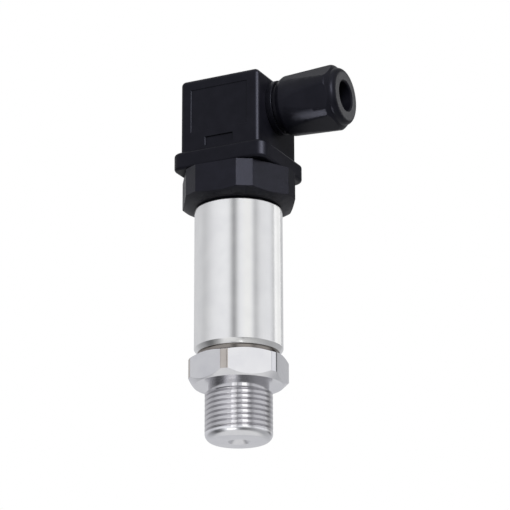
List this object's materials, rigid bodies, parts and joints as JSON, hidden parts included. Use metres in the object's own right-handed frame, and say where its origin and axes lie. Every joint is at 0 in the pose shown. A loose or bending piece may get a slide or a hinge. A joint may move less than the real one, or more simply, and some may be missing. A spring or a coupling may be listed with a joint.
{
  "type": "pressure sensor",
  "caption": "Stainless steel pressure transmitter with an outside thread, hexagon and tube, closed by a black base with an angled plug and cable gland.",
  "frame": {"origin": "centre of the process thread's end face, where the pressure enters", "axes": "+Z along the sensor's axis from the process thread up to the plug, +X out along the cable gland"},
  "size_m": [0.0535, 0.0334, 0.1118],
  "materials": {
    "turned_steel": "stainless steel, turned and milled, bright",
    "satin_steel": "stainless steel tube, fine satin",
    "black_polyamide": "glass-filled polyamide, moulded, fine spark texture",
    "nitrile_rubber": "moulded rubber, matt",
    "gold_plate": "gold-plated pins",
    "white_ceramic": "alumina, fired",
    "green_board": "solder resist over glass laminate",
    "black_epoxy": "moulded epoxy",
    "blue_plastic": "moulded plastic",
    "red_insulation": "extruded insulation",
    "brass": "machined brass",
    "tinned_brass": "tin-plated brass strip",
    "zinc_steel": "zinc-plated steel"
  },
  "bodies": {
    "transmitter": {"process_port": "turned_steel", "sensor_cell": "turned_steel", "cell_seal": "nitrile_rubber", "cell_pins": "gold_plate", "cell_lock_ring": "turned_steel", "compensation_board": "white_ceramic", "link_pins": "gold_plate", "board_carrier": "black_polyamide", "amplifier_board": "green_board", "board_components": "black_epoxy", "trim_potentiometers": "blue_plastic", "lead_wires": "red_insulation", "housing_tube": "satin_steel", "tube_seal": "nitrile_rubber", "connector_base": "black_polyamide", "screw_bush": "brass", "contact_blades": "tinned_brass", "earth_blade": "tinned_brass"},
    "plug": {"profile_gasket": "nitrile_rubber", "plug_housing": "black_polyamide", "terminal_block": "black_polyamide", "terminal_clamps": "brass", "terminal_screws": "zinc_steel", "screw_seal": "nitrile_rubber", "gland_grommet": "nitrile_rubber"},
    "screw": {"retaining_screw": "zinc_steel"},
    "ring": {"thrust_ring": "black_polyamide"},
    "nut": {"gland_nut": "black_polyamide"}
  },
  "joints": [
    {"name": "plug_lift", "type": "slide", "parent": "transmitter", "child": "plug", "axis": [0, 0, 1], "range_m": [0, 0.01]},
    {"name": "screw_turn", "type": "hinge", "parent": "plug", "child": "screw", "pos_m": [0, 0, 0.1], "axis": [0, 0, 1], "range_deg": [0, 7200]},
    {"name": "ring_travel", "type": "slide", "parent": "plug", "child": "ring", "axis": [1, 0, 0], "range_m": [0, 0.00705]},
    {"name": "nut_turn", "type": "hinge", "parent": "ring", "child": "nut", "pos_m": [0.025, 0, 0.1019], "axis": [1, 0, 0], "range_deg": [0, 1800]}
  ],
  "couplings": [
    {"joint": "screw_turn", "follows": "plug_lift", "rad_per_m": 12566},
    {"joint": "ring_travel", "follows": "nut_turn", "m_per_rad": 0.00022441}
  ]
}
